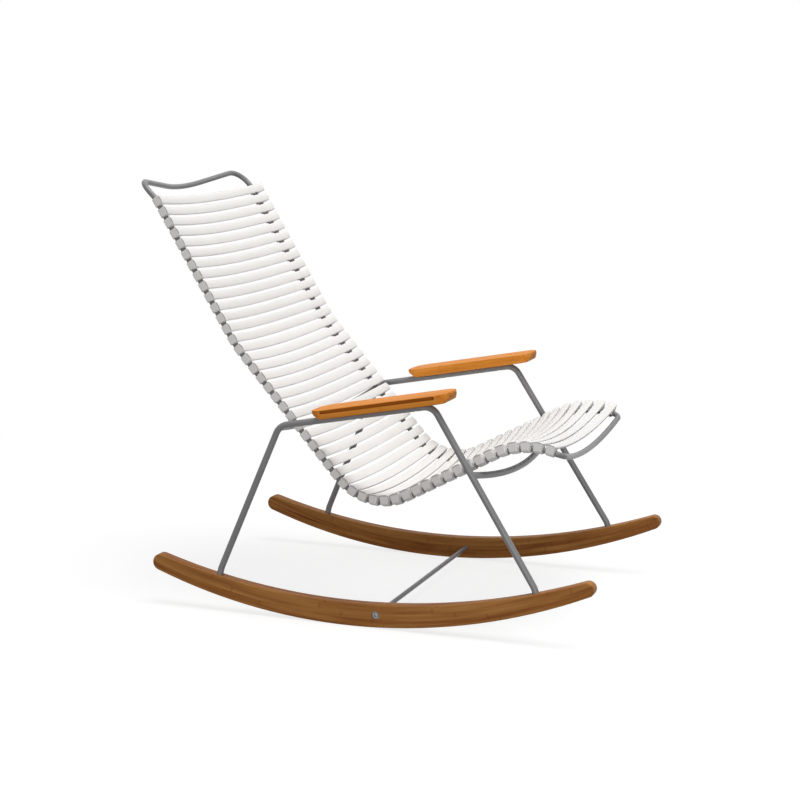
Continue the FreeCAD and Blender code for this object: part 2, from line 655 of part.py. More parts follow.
def cross_tube(name, side_rods, pinned):
    """A tube along one circular bow. side_rods are the side frames' rods that its ends fit against.

    A pinned tube has a short pin near each end that joins it to the seat loop."""
    key = name.replace("_tube", "")
    half, bow = half_width_at(S[key + "_z"]), S[key + "_bow"]
    half_formula = f"(#frame_half_spacing - (#{key}_z - #frame_lean_height) * tan(#frame_lean * 1deg))"
    radius = (half * half + bow * bow) / (2 * bow)
    sketch = DOC.addObject("Sketcher::SketchObject", name + "_path")
    arc, _ = sketch_arc(sketch, V(-half, 0, 0), V(half, 0, 0), V(0, radius - bow, 0))
    for end, sign in ((1, "-1"), (2, "1")):
        row = sketch.addConstraint(Sketcher.Constraint("DistanceX", -1, 1, arc, end, float(sign) * half))
        bind_constraint(sketch, row, f"{sign} * {half_formula}")
        sketch.addConstraint(Sketcher.Constraint("PointOnObject", arc, end, -1))
    row = sketch.addConstraint(Sketcher.Constraint("Radius", arc, radius))
    squares = f"({half_formula} * {half_formula} + #{key}_bow * #{key}_bow)"
    bind_constraint(sketch, row, f"{squares} / (2 * #{key}_bow)")
    ends = V(0, S[key + "_y"], S[key + "_z"])
    place = FreeCAD.Placement(ends, FreeCAD.Rotation(V(1, 0, 0), S[key + "_tilt"]))
    sketch.Placement = place
    tip = place.multVec(V(half, 0, 0))
    tangent = place.Rotation.multVec(V(radius - bow, half, 0))
    rod = sweep(name + "_rod", sketch, "#frame_tube_radius", tip, tangent)
    core = sweep(name + "_core", sketch, "#frame_tube_radius - #frame_tube_wall", tip, tangent)
    pins, copes = [], []
    offset = S["loop_half_spacing"]
    for side in (-1, 1) if pinned else ():
        drop = math.sqrt(radius ** 2 - offset ** 2) - (radius - bow)
        centre = place.multVec(V(side * offset, -drop, 0))
        between = math.floor(nearest_station(V(0, centre.y, centre.z)) / S["slat_pitch"]) + 0.5
        nearest, angle = side_station(between * S["slat_pitch"])
        nearest = nearest - normal(angle) * S["loop_drop"]
        target = V(side * offset, nearest.y, nearest.z)
        reach = target - centre
        pins.append(cylinder(f"{name}_pin_{side + 1}", "#rear_pin_radius", f"{reach.Length}", centre, reach))
        start = target - along(angle) * 20
        copes.append(cylinder(f"{name}_pin_cope_{side + 1}", "#loop_tube_radius", "40", start, along(angle)))
    room = DOC.addObject("Part::Box", name + "_room")
    bind(room, Length=f"2 * {half_formula}")
    room.Width, room.Height = 200, 200
    room.Placement = FreeCAD.Placement(V(-half, ends.y - 100, ends.z - 100), FreeCAD.Rotation())
    whole = fuse(name + "_whole", [rod] + pins) if pins else rod
    joined = boolean("Common", name + "_between_frames", whole, room)
    away = fuse(name + "_cuts", [core] + copes + side_rods)
    keep(boolean("Cut", name, joined, away), name)


# Runners: a rolling arc below, a flatter arc above and round ends.


def end_round(centre_y):
    """Centre height and radius of the end round that touches the lower and the upper arc."""
    low_centre = V(S["rocker_centre_y"], S["rocker_radius"], 0)
    top_centre = V(S["rocker_centre_y"], S["runner_height"] + S["runner_top_radius"], 0)

    def heights(radius):
        offset = centre_y - S["rocker_centre_y"]
        low = low_centre.y - math.sqrt((S["rocker_radius"] - radius) ** 2 - offset ** 2)
        top = top_centre.y - math.sqrt((S["runner_top_radius"] + radius) ** 2 - offset ** 2)
        return low, top

    small, large = 1.0, S["runner_height"]
    for _ in range(60):
        radius = (small + large) / 2
        low, top = heights(radius)
        if low < top:
            small = radius
        else:
            large = radius
    return V(centre_y, low, 0), radius, low_centre, top_centre


def runner_outline(body, plane):
    sketch = body.newObject("Sketcher::SketchObject", body.Name + "_outline")
    sketch.AttachmentSupport = [(plane, "")]
    sketch.MapMode = "FlatFace"
    touches = []
    for key in ("rear_round_y", "front_round_y"):
        centre, radius, low_centre, top_centre = end_round(S[key])
        low = low_centre + (centre - low_centre).normalize() * S["rocker_radius"]
        top = top_centre + (centre - top_centre).normalize() * S["runner_top_radius"]
        touches.append((centre, low, top))
    (rear_centre, rear_low, rear_top), (front_centre, front_low, front_top) = touches
    bottom, bottom_start = sketch_arc(sketch, rear_low, front_low, low_centre)
    upper, upper_start = sketch_arc(sketch, rear_top, front_top, top_centre)
    rounds = []
    for centre, first, last in ((rear_centre, rear_low, rear_top), (front_centre, front_top, front_low)):
        circle = Part.Circle(centre, V(0, 0, 1), (first - centre).Length)
        begin, end = (math.atan2(point.y - centre.y, point.x - centre.x) for point in (first, last))
        rounds.append(sketch.addGeometry(Part.ArcOfCircle(circle, begin, end), False))
    rear, front = rounds
    sketch.addConstraint(Sketcher.Constraint("Tangent", bottom, bottom_start, rear, 1))
    sketch.addConstraint(Sketcher.Constraint("Tangent", rear, 2, upper, upper_start))
    sketch.addConstraint(Sketcher.Constraint("Tangent", upper, 3 - upper_start, front, 1))
    sketch.addConstraint(Sketcher.Constraint("Tangent", front, 2, bottom, 3 - bottom_start))
    for arc, key in ((bottom, "rocker_radius"), (upper, "runner_top_radius")):
        row = sketch.addConstraint(Sketcher.Constraint("Radius", arc, S[key]))
        bind_constraint(sketch, row, "#" + key)
    places = [
        (bottom, "DistanceX", low_centre.x, "#rocker_centre_y"),
        (bottom, "DistanceY", low_centre.y, "#rocker_radius"),
        (upper, "DistanceX", top_centre.x, "#rocker_centre_y"),
        (upper, "DistanceY", top_centre.y, "#runner_height + #runner_top_radius"),
        (rear, "DistanceX", rear_centre.x, "#rear_round_y"),
        (front, "DistanceX", front_centre.x, "#front_round_y"),
    ]
    for arc, kind, value, formula in places:
        row = sketch.addConstraint(Sketcher.Constraint(kind, -1, 1, arc, 3, value))
        bind_constraint(sketch, row, formula)
    return sketch


def runner_body():
    body = DOC.addObject("PartDesign::Body", "runner_blank")
    plane = [item for item in body.Origin.OriginFeatures if item.Role == "YZ_Plane"][0]
    outline = runner_outline(body, plane)
    pad = body.newObject("PartDesign::Pad", "runner_pad")
    pad.Profile = outline
    pad.Midplane = True
    bind(pad, Length="#runner_thickness")
    DOC.recompute()
    half = S["runner_thickness"] / 2
    rims = []
    for index, edge in enumerate(pad.Shape.Edges, start=1):
        on_faces = all(abs(abs(vertex.X) - half) < 1e-6 for vertex in edge.Vertexes)
        if on_faces and abs(edge.CenterOfMass.x) > half / 2:
            rims.append(f"Edge{index}")
    rounding = body.newObject("PartDesign::Fillet", "runner_rounding")
    rounding.Base = (pad, rims)
    bind(rounding, Radius="#runner_edge_radius")
    body.Tip = rounding
    DOC.recompute()
    return body


def build_runners():
    """Two runners, each bored for the leaning feet of its side frame and for the screws."""
    blank = runner_body()
    feet = (("rear", REAR_FOOT, REAR_SQUARE), ("front", FRONT_FOOT, FRONT_SQUARE))
    for side, sign in SIDES:
        centre_x = sign * S["frame_half_spacing"]
        cuts = []
        for name, foot, square in feet:
            end = LEANING[sign].multVec(in_side_plane(foot))
            down = LEANING[sign].Rotation.multVec(in_side_plane(square))
            key = f"{name}_{side}"
            bottom = end + down * 0.2
            head = end + down * foot_screw_grip(foot)
            cuts += [
                cylinder(f"foot_bore_{key}", "#frame_tube_radius + 0.1", "60", bottom, down * -1),
                cylinder(f"foot_screw_bore_{key}", "#screw_radius + 0.1", "60", end, down),
                cylinder(f"foot_head_bore_{key}", "#screw_head_radius + 0.2", "60", head, down),
            ]
        cross_bore = V(centre_x - 40, S["stretcher_y"], S["stretcher_z"])
        cuts.append(cylinder(f"bolt_bore_{side}", "#bolt_radius + 0.15", "80", cross_bore, V(1, 0, 0)))
        seat_x = centre_x + sign * (S["runner_thickness"] / 2 - S["washer_sink"])
        seat = V(seat_x, S["stretcher_y"], S["stretcher_z"])
        cuts.append(cylinder(f"washer_seat_{side}", "#washer_radius + 0.3", "30", seat, V(sign, 0, 0)))
        board = DOC.addObject("Part::Feature", f"runner_board_{side}")
        board.Shape = blank.Shape
        bind(board, Placement__Base__x=f"{sign} * #frame_half_spacing")
        keep(boolean("Cut", "runner_" + side, board, fuse(f"runner_{side}_cuts", cuts)), "runner_" + side)


def foot_screw_grip(foot):
    """Wood under a foot that its screw clamps, from the tube's end to the screw's head."""
    depth = S["rocker_radius"] - (foot - ROCKER_CENTRE).Length
    return depth - S["screw_recess"]


# Stretcher: a round rod between the runners, held by a screw and washer from each outer side.


def build_stretcher():
    inner = S["frame_half_spacing"] - S["runner_thickness"] / 2
    start = V(-inner, S["stretcher_y"], S["stretcher_z"])
    length = "2 * #frame_half_spacing - #runner_thickness"
    rod = cylinder("stretcher_rod", "#stretcher_radius", length, start, V(1, 0, 0))
    threads = []
    for side in (-1, 1):
        mouth = V(side * (inner + 1), S["stretcher_y"], S["stretcher_z"])
        threads.append(cylinder(f"stretcher_thread_{side + 1}", "#bolt_radius + 0.05",
                                "#bolt_length * 0.6", mouth, V(-side, 0, 0)))
    keep(boolean("Cut", "stretcher", rod, fuse("stretcher_threads", threads)), "stretcher")


def hexagon(width, height, base, direction):
    """A hexagonal bar of this width across its flats."""
    corner = width / math.sqrt(3)
    points = [V(corner * math.cos(math.pi / 3 * i), corner * math.sin(math.pi / 3 * i), 0) for i in range(7)]
    bar = Part.Face(Part.makePolygon(points)).extrude(V(0, 0, height))
    bar.Placement = FreeCAD.Placement(base, FreeCAD.Rotation(V(0, 0, 1), direction))
    return bar


def build_stretcher_screws():
    """Two button-head screws with washers, one group of four solids."""
    solids = []
    for side in (-1, 1):
        outward = V(side, 0, 0)
        seat_x = S["frame_half_spacing"] + S["runner_thickness"] / 2 - S["washer_sink"]
        seat = V(side * seat_x, S["stretcher_y"], S["stretcher_z"])
        washer = Part.makeCylinder(S["washer_radius"], S["washer_height"], seat, outward)
        washer = washer.cut(Part.makeCylinder(S["bolt_radius"] + 0.2, 10, seat - outward * 5, outward))
        under = seat + outward * S["washer_height"]
        head = Part.makeCylinder(S["bolt_head_radius"], S["bolt_head_height"], under, outward)
        outer_x = abs(under.x) + S["bolt_head_height"]
        rim = [edge for edge in head.Edges if abs(abs(edge.CenterOfMass.x) - outer_x) < 1e-3]
        head = head.makeFillet(S["bolt_head_height"] * 0.55, rim[:1])
        socket = hexagon(S["bolt_socket_width"], 10, under + outward * (S["bolt_head_height"] - 2.4), outward)
        shank_end = under - outward * S["bolt_length"]
        shank = Part.makeCylinder(S["bolt_radius"], S["bolt_length"], shank_end, outward)
        solids += [washer, head.cut(socket).fuse(shank).removeSplitter()]
    group = DOC.addObject("Part::Feature", "stretcher_screws")
    group.Shape = Part.makeCompound([item.Solids[0] for item in solids])
    keep(group, "stretcher_screws")


def frame_screw(head_seat, direction):
    """One hidden screw. head_seat is the underside of its head, and the shank runs along direction."""
    head = Part.makeCylinder(S["screw_head_radius"], S["screw_head_height"], head_seat, direction * -1)
    shank = Part.makeCylinder(S["screw_radius"], S["screw_length"], head_seat, direction)
    socket = hexagon(3, 10, head_seat - direction * (S["screw_head_height"] - 1.5), direction * -1)
    return head.fuse(shank).removeSplitter().cut(socket).Solids[0]


def build_frame_screws():
    """Eight identical screws: two up into each armrest, one up into each foot."""
    solids = []
    for _, sign in SIDES:
        for reach in ARM_SCREWS:
            solids.append(frame_screw(rail_point(reach, sign) + RAIL_UP * S["arm_screw_seat"], RAIL_UP))
        for foot, square in ((REAR_FOOT, REAR_SQUARE), (FRONT_FOOT, FRONT_SQUARE)):
            end = LEANING[sign].multVec(in_side_plane(foot))
            down = LEANING[sign].Rotation.multVec(in_side_plane(square))
            solids.append(frame_screw(end + down * foot_screw_grip(foot), down * -1))
    group = DOC.addObject("Part::Feature", "frame_screws")
    group.Shape = Part.makeCompound(solids)
    keep(group, "frame_screws")


# Armrests: bamboo slabs with round plan corners, ends that slope in below and a routed groove.


def plan_outline(body, name, length, width, corner):
    """A rectangle with round corners. Each size is its value and its sheet formula."""
    sketch = body.newObject("Sketcher::SketchObject", name)
    plane = [item for item in body.Origin.OriginFeatures if item.Role == "XY_Plane"][0]
    sketch.AttachmentSupport = [(plane, "")]
    sketch.MapMode = "FlatFace"
    half_x, half_y, radius = width[0] / 2, length[0] / 2, corner[0]
    quarter = math.pi / 2
    corners = [(1, 1), (-1, 1), (-1, -1), (1, -1)]
    arcs = []
    for index, (sx, sy) in enumerate(corners):
        centre = V(sx * (half_x - radius), sy * (half_y - radius), 0)
        circle = Part.Circle(centre, V(0, 0, 1), radius)
        arc = Part.ArcOfCircle(circle, index * quarter, (index + 1) * quarter)
        arcs.append(sketch.addGeometry(arc, False))
    lines = []
    for index in range(4):
        first, second = arcs[index], arcs[(index + 1) % 4]
        line = sketch_line(sketch, sketch.getPoint(first, 2), sketch.getPoint(second, 1))
        sketch.addConstraint(Sketcher.Constraint("Tangent", first, 2, line, 1))
        sketch.addConstraint(Sketcher.Constraint("Tangent", line, 2, second, 1))
        lines.append(line)
        if index:
            sketch.addConstraint(Sketcher.Constraint("Equal", arcs[0], first))
    for line, kind in zip(lines, ("Horizontal", "Vertical", "Horizontal", "Vertical")):
        sketch.addConstraint(Sketcher.Constraint(kind, line))
    row = sketch.addConstraint(Sketcher.Constraint("Radius", arcs[0], radius))
    bind_constraint(sketch, row, corner[1])
    row = sketch.addConstraint(Sketcher.Constraint("DistanceY", -1, 1, lines[0], 1, half_y))
    bind_constraint(sketch, row, length[1] + " / 2")
    row = sketch.addConstraint(Sketcher.Constraint("DistanceY", lines[2], 1, -1, 1, half_y))
    bind_constraint(sketch, row, length[1] + " / 2")
    row = sketch.addConstraint(Sketcher.Constraint("DistanceX", lines[1], 1, -1, 1, half_x))
    bind_constraint(sketch, row, width[1] + " / 2")
    row = sketch.addConstraint(Sketcher.Constraint("DistanceX", -1, 1, lines[3], 1, half_x))
    bind_constraint(sketch, row, width[1] + " / 2")
    return sketch


def armrest_body():
    body = DOC.addObject("PartDesign::Body", "armrest_blank")
    thickness = S["armrest_thickness"]
    length = (S["armrest_length"], "#armrest_length")
    width = (S["armrest_width"], "#armrest_width")
    corner = (S["armrest_corner"], "#armrest_corner")
    pad = body.newObject("PartDesign::Pad", "armrest_pad")
    pad.Profile = plan_outline(body, "armrest_outline", length, width, corner)
    bind(pad, Length="#armrest_thickness")
    DOC.recompute()
    rounding = body.newObject("PartDesign::Fillet", "armrest_rounding")
    rounding.Base = (pad, rim_edges(pad.Shape, thickness))
    bind(rounding, Radius="#armrest_edge")
    DOC.recompute()
    bevel = body.newObject("PartDesign::Chamfer", "armrest_bevel")
    bevel.Base = (rounding, rim_edges(rounding.Shape, 0))
    bind(bevel, Size="#armrest_bevel")
    body.Tip = bevel
    DOC.recompute()
    return body


def rim_edges(shape, height):
    """Names of the edges that lie at one height."""
    return [
        f"Edge{index}" for index, edge in enumerate(shape.Edges, start=1)
        if all(abs(vertex.Z - height) < 1e-6 for vertex in edge.Vertexes)
    ]


def undercut_tools(side):
    """Two boxes that slope the armrest's ends in below, the rear end more than the front end."""
    rise, depth = S["undercut_height"], 30
    boxes = []
    for end, half_turn in (("rear", 0), ("front", 180)):
        run = S[end + "_undercut"]
        turn = FreeCAD.Rotation(V(1, 0, 0), math.degrees(math.atan2(rise, run)))
        foot = V(0, S["armrest_length"] / 2 - run, 0)
        corner = foot - turn.multVec(V(S["armrest_width"], 20, depth))
        box = DOC.addObject("Part::Box", f"undercut_{side}_{end}")
        bind(box, Length="#armrest_width * 2")
        box.Width, box.Height = 60, depth
        about = FreeCAD.Placement(V(0, 0, 0), FreeCAD.Rotation(V(0, 0, 1), half_turn))
        box.Placement = about.multiply(FreeCAD.Placement(corner, turn))
        boxes.append(box)
    return boxes


def groove_tool(side, sign):
    """Slot with round ends, cut into the outer side of an armrest."""
    depth, radius = S["groove_depth"], S["groove_height"] / 2
    level = S["armrest_thickness"] - S["groove_drop"]
    reach = S["groove_length"] / 2 - radius
    inner_x = sign * (S["armrest_width"] / 2 - depth)
    box = DOC.addObject("Part::Box", f"groove_middle_{side}")
    bind(box, Width="#groove_length - #groove_height", Height="#groove_height", Length="#groove_depth + 5")
    box_x = inner_x if sign > 0 else inner_x - depth - 5
    box.Placement = FreeCAD.Placement(V(box_x, -reach, level - radius), FreeCAD.Rotation())
    ends = [
        cylinder(f"groove_end_{side}_{index}", "#groove_height / 2", "#groove_depth + 5",
                 V(inner_x, end * reach, level), V(sign, 0, 0))
        for index, end in enumerate((-1, 1))
    ]
    return fuse(f"groove_{side}", [box] + ends)


def build_armrests():
    blank = armrest_body()
    pilot_depth = "#arm_screw_seat + #screw_length - #frame_tube_radius + 1.4"
    for side, sign in SIDES:
        middle = rail_point(0, sign)
        bottom = V(0, middle.y, middle.z) + RAIL_UP * S["frame_tube_radius"]
        place = FreeCAD.Placement(bottom, lean(RAIL_SLOPE))
        pilots = []
        for index, reach in enumerate(ARM_SCREWS):
            entry = place.inverse().multVec(rail_point(reach, sign))
            start = V(entry.x - sign * S["armrest_middle_x"], entry.y, -0.5)
            pilots.append(cylinder(f"arm_pilot_{side}_{index}", "#screw_radius + 0.05",
                                   pilot_depth, start, V(0, 0, 1)))
        tools = [groove_tool(side, sign)] + pilots + undercut_tools(side)
        armrest = boolean("Cut", "armrest_" + side, blank, fuse(f"armrest_{side}_cuts", tools))
        armrest.Placement = place
        bind(armrest, Placement__Base__x=f"{sign} * #armrest_middle_x")
        keep(armrest, "armrest_" + side)


def check_and_write():
    """Stop on any failed object, then write one file for each sub-part."""
    DOC.recompute()
    bad = [obj.Name for obj in DOC.Objects if "Invalid" in obj.State or "Error" in obj.State]
    for obj in PARTS:
        if obj.Shape.isNull() or not obj.Shape.isValid() or not obj.Shape.Solids:
            bad.append(obj.Label)
    if bad:
        raise RuntimeError("failed objects: " + ", ".join(bad))
    os.makedirs("parts", exist_ok=True)
    for obj in PARTS:
        obj.Shape.exportStep(f"parts/{obj.Label}.step")
    print(len(PARTS), "sub-parts written")


def main():
    side_rods = build_side_frames()
    build_seat_frame()
    build_slats()
    cross_tube("rear_cross_tube", side_rods, True)
    cross_tube("front_cross_tube", side_rods, False)
    build_runners()
    build_stretcher()
    build_stretcher_screws()
    build_armrests()
    build_frame_screws()
    check_and_write()


main()
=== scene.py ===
# %% [markdown]
# # A rocking lounge chair with white slats
# This lesson dresses a finished CAD model of a rocking chair. The chair has a tall back of bowed
# white slats, a frame of grey bent tube, honey-coloured armrests and dark wooden runners. The CAD
# model already has every piece at its real size, so the lesson is about surfaces, light and small
# detail.
#
# We start with the tools: Blender's own modules, and a small kit that loads the CAD model.

# %% Load the CAD model
import json
import math

import bpy
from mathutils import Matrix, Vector

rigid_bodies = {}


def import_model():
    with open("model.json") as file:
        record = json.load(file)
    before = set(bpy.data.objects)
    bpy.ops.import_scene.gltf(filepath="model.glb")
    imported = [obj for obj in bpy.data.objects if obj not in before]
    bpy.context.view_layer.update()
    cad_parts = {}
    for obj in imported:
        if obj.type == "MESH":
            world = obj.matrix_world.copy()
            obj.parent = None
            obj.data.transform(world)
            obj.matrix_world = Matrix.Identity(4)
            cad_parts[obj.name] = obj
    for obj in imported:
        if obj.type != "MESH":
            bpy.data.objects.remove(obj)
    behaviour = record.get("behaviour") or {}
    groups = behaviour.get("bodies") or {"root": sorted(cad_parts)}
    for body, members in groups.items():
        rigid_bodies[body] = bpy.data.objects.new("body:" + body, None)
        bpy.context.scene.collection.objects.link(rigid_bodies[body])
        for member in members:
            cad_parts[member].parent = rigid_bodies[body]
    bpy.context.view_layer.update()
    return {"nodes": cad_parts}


for leftover in list(bpy.data.objects):
    bpy.data.objects.remove(leftover)
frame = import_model()
NODES = frame["nodes"]

# %% [markdown]
# ## Camera
# A product photograph is usually taken from a few metres away with a long lens, which keeps the
# lines of the object nearly parallel. We place the camera by its distance from a point at the
# middle of the chair, by its heading and by how far it looks down. A camera could also be set by
# hand in the viewport, but numbers can be fitted to a photograph and read again later.

# %% Place the camera
AIM = Vector((0.0, 0.0, 0.4295))
HEADING = math.radians(20.442)
LOOK_DOWN = math.radians(9.937)
DISTANCE = 3.9936
SENSOR_WIDTH = 36.0
FOCAL_LENGTH = 81.0

forward = Vector((
    math.cos(LOOK_DOWN) * math.cos(HEADING),
    math.cos(LOOK_DOWN) * math.sin(HEADING),
    -math.sin(LOOK_DOWN),
))
camera_data = bpy.data.cameras.new("camera")
camera_data.sensor_width = SENSOR_WIDTH
camera_data.lens = FOCAL_LENGTH
camera = bpy.data.objects.new("camera", camera_data)
camera.location = AIM - forward * DISTANCE
camera.rotation_euler = forward.to_track_quat("-Z", "Y").to_euler()
bpy.context.scene.collection.objects.link(camera)
bpy.context.scene.camera = camera
print("camera at", [round(value, 3) for value in camera.location])

# %% [markdown]
# ## A shorter way to write shader nodes
# A material in Blender is a graph of nodes. Written out in full, each node takes several lines.
# This small class keeps one material's graph and gives short names to the steps that this lesson
# repeats: make a node, set its sockets and connect it. A Mix node holds sockets for several kinds
# of data, and the ones for colours are found by their number.

# %% A helper for shader graphs
MIX_AMOUNT, MIX_FIRST, MIX_SECOND = 0, 6, 7
MIX_RESULT = 2


class Graph:
    """One material's node graph, with short calls for the nodes used here."""

    def __init__(self, name):
        self.material = bpy.data.materials.new(name)
        self.material.use_nodes = True
        self.tree = self.material.node_tree
        self.tree.nodes.clear()
        self.output = self.tree.nodes.new("ShaderNodeOutputMaterial")

    def node(self, kind, inputs=None, **settings):
        made = self.tree.nodes.new("ShaderNode" + kind)
        for key, value in settings.items():
            setattr(made, key, value)
        for socket, value in (inputs or {}).items():
            self.feed(made.inputs[socket], value)
        return made

    def feed(self, socket, value):
        if isinstance(value, bpy.types.NodeSocket):
            self.tree.links.new(value, socket)
        else:
            socket.default_value = value

    def math(self, operation, first, second=0.0, third=None):
        made = self.node("Math", {0: first, 1: second}, operation=operation)
        if third is not None:
            self.feed(made.inputs[2], third)
        return made.outputs[0]

    def product(self, first, *others):
        for other in others:
            first = self.math("MULTIPLY", first, other)
        return first

    def between(self, low, high, amount):
        """low where the amount is 0, high where it is 1, and a value between them elsewhere."""
        return self.math("MULTIPLY_ADD", amount, high - low, low)

    def mix(self, amount, first, second):
        """The first colour where the amount is 0, and the second where it is 1."""
        made = self.node("Mix", data_type="RGBA")
        self.feed(made.inputs[MIX_AMOUNT], amount)
        self.feed(made.inputs[MIX_FIRST], first)
        self.feed(made.inputs[MIX_SECOND], second)
        return made.outputs[MIX_RESULT]

    def ramp(self, value, stops):
        """Turn a value into a colour. Each stop is a value and the colour that it gets."""
        made = self.node("ValToRGB", {0: value})
        elements = made.color_ramp.elements
        while len(elements) < len(stops):
            elements.new(0.5)
        for element, (position, colour) in zip(elements, stops):
            element.position = position
            element.color = colour
        return made.outputs[0]

    def noise(self, vector, scale, detail, roughness=0.5):
        made = self.node("TexNoise", {
            "Vector": vector, "Scale": scale, "Detail": detail, "Roughness": roughness,
        })
        return made.outputs["Fac"]

    def combine(self, x, y, z):
        return self.node("CombineXYZ", {0: x, 1: y, 2: z}).outputs[0]

    def separate(self, vector):
        return self.node("SeparateXYZ", {0: vector}).outputs

    def bump(self, height, strength, distance):
        made = self.node("Bump", {"Height": height, "Strength": strength, "Distance": distance})
        return made.outputs[0]

    def finish(self, surface):
        self.tree.links.new(surface, self.output.inputs[0])
        return self.material


print("shader steps:", ", ".join(step for step in vars(Graph) if not step.startswith("_")))

# %% [markdown]
# A few more helpers are shared by all finishes. Two write a colour or a grey, one gives a point's
# place on the chair, and one puts a finish on CAD nodes. A pattern could be laid out on an
# unwrapped mesh. Laid out by place instead, it needs no unwrapping, and runs on from one part of a
# tube to the next.

# %% Colours, places and paint


def colour(red, green, blue):
    return (red, green, blue, 1.0)


def grey(level):
    return colour(level, level, level)


def place_coordinates(graph):
    """A point's place on the chair, in metres. Every CAD node's origin is the chair's origin."""
    return graph.node("TexCoord").outputs["Object"]


def paint(material, *names):
    """Give CAD nodes a material in place of their plain one."""
    for name in names:
        slots = NODES[name].material_slots
        if not slots:
            NODES[name].data.materials.append(material)
        for entry in slots:
            entry.material = material
    print(material.name, "on", len(names), "nodes")


# %% [markdown]
# ## Powder-coated steel
# The tubes carry a grey powder coat. Powder melts into a skin with a faint orange-peel texture, so
# a highlight on it has soft, slightly broken edges. We make the skin with a fine bump, and vary
# its roughness a little, because hands polish a frame unevenly. A noise scale counts waves in a
# metre, so a scale of 900 gives dimples of about a millimetre.

# %% Grey tube finish
COAT_DARK = colour(0.198, 0.195, 0.200)
COAT_LIGHT = colour(0.228, 0.224, 0.230)
COAT_SPECK = colour(0.140, 0.137, 0.142)
SPECK_AMOUNT = 0.25
SPECK_SCALE = 620.0
PEEL_SCALE = 900.0


def make_tube_finish():
    graph = Graph("grey_powder_coat")
    place = place_coordinates(graph)
    cloud = graph.noise(place, scale=9.0, detail=3.0)
    speckle = graph.noise(place, SPECK_SCALE, detail=2.0)
    peel = graph.noise(place, PEEL_SCALE, detail=1.0)
    tone = graph.ramp(cloud, [(0.3, COAT_DARK), (0.7, COAT_LIGHT)])
    tone = graph.mix(graph.product(speckle, SPECK_AMOUNT), tone, COAT_SPECK)
    skin = graph.node("BsdfPrincipled", {
        "Base Color": tone,
        "Roughness": graph.between(0.27, 0.37, cloud),
        "Specular IOR Level": 0.5,
        "Normal": graph.bump(peel, strength=0.10, distance=0.0004),
    })
    return graph.finish(skin.outputs[0])


TUBE_NODES = [
    "seat_frame", "side_frame_left", "side_frame_right",
    "front_cross_tube", "rear_cross_tube", "stretcher",
]
paint(make_tube_finish(), *TUBE_NODES)

# %% [markdown]
# ## White slat plastic
# The slats are moulded in a warm white plastic with a satin skin. White plastic is never one flat
# white: the mould leaves a fine grain and faint clouds. A soft noise in the tone and a fine bump
# give that.
#
# Each strip ends just behind the face of its end clip, in a small recess, and that end is painted
# a darker grey as painted shade for the recess. Those faces could have a material of their own,
# but a slat comes from the CAD model as one mesh. So the finish finds them by their place across
# the chair and by the way they face.

# %% Find the shaded strip ends
SHADED_END_FROM = 0.2590
SHADED_END_TO = 0.2601
FACING_SIDEWAYS = 0.9


def painted_end_shade_mask(graph, place):
    """1 on the strips' end faces, which lie just inside the faces of the end clips and get painted
    shade, else 0.
    """
    across = graph.math("ABSOLUTE", graph.separate(place)[0])
    facing = graph.math("ABSOLUTE", graph.separate(graph.node("NewGeometry").outputs["Normal"])[0])
    behind_clip = graph.math("LESS_THAN", across, SHADED_END_TO)
    near_end = graph.math("GREATER_THAN", across, SHADED_END_FROM)
    sideways = graph.math("GREATER_THAN", facing, FACING_SIDEWAYS)
    return graph.product(behind_clip, near_end, sideways)


# These strip ends get painted shade for the recess behind the clip faces.
print("sawn ends between", SHADED_END_FROM, "and", SHADED_END_TO, "m from the middle")

# %% White slat finish
SLAT_SHADE = colour(0.845, 0.830, 0.805)
SLAT_WHITE = colour(0.875, 0.860, 0.840)
# The end grey below is painted shade for the strip ends, which sit recessed behind the clip faces.
SLAT_END_SHADE = colour(0.52, 0.51, 0.50)
GRAIN_SCALE = 420.0
SLAT_COUNT = 48


def make_slat_finish():
    graph = Graph("white_slat_plastic")
    place = place_coordinates(graph)
    cloud = graph.noise(place, scale=14.0, detail=3.0)
    grain = graph.noise(place, GRAIN_SCALE, detail=1.0)
    tone = graph.ramp(cloud, [(0.25, SLAT_SHADE), (0.75, SLAT_WHITE)])
    # Painted shade: the recessed strip ends are darkened to the end grey.
    tone = graph.mix(painted_end_shade_mask(graph, place), tone, SLAT_END_SHADE)
    skin = graph.node("BsdfPrincipled", {
        "Base Color": tone,
        "Roughness": graph.between(0.42, 0.52, cloud),
        "Specular IOR Level": 0.3,
        "Normal": graph.bump(grain, strength=0.05, distance=0.0002),
    })
    return graph.finish(skin.outputs[0])


SLAT_NODES = [f"slat_{number:02d}" for number in range(1, SLAT_COUNT + 1)]
paint(make_slat_finish(), *SLAT_NODES)

# %% [markdown]
# ## Bamboo
# Armrests and runners are laminated bamboo: long strips glued side by side, each with its own
# tint, with straight fibres and now and then a knuckle where the cane had a joint. A picture of
# wood could be wrapped round each piece, but it would break at the edges. A pattern made from
# coordinates runs through the solid, as real wood does. It has to follow the length of each piece,
# so it is written for coordinates that run along, across and through it.
#
# First come the strips. Rounding a coordinate down gives every strip a number, and a white noise
# turns that number into the strip's own random tint. The tint also shifts the strip's pattern
# along, so that neighbours never match.

# %% Strips of bamboo
LAYER_TO_STRIP = 1.7
TINT_SEED = 0.5


def strip_tint(graph, across, through, strip_width):
    """One random value from 0 to 1 for each strip of each glued layer."""
    strip = graph.math("FLOOR", graph.math("DIVIDE", across, strip_width))
    layer = graph.math("FLOOR", graph.math("DIVIDE", through, strip_width * LAYER_TO_STRIP))
    seed = graph.combine(strip, layer, TINT_SEED)
    return graph.node("TexWhiteNoise", {"Vector": seed}, noise_dimensions="3D").outputs["Value"]


print("a glued layer is", LAYER_TO_STRIP, "strips thick")

# %% [markdown]
# On each strip lie broad streaks and fine fibres. Both are noises, drawn out along the strip. A
# knuckle is a thin darker line across it. Knuckles come at even steps, and on each strip the steps
# start at another place.

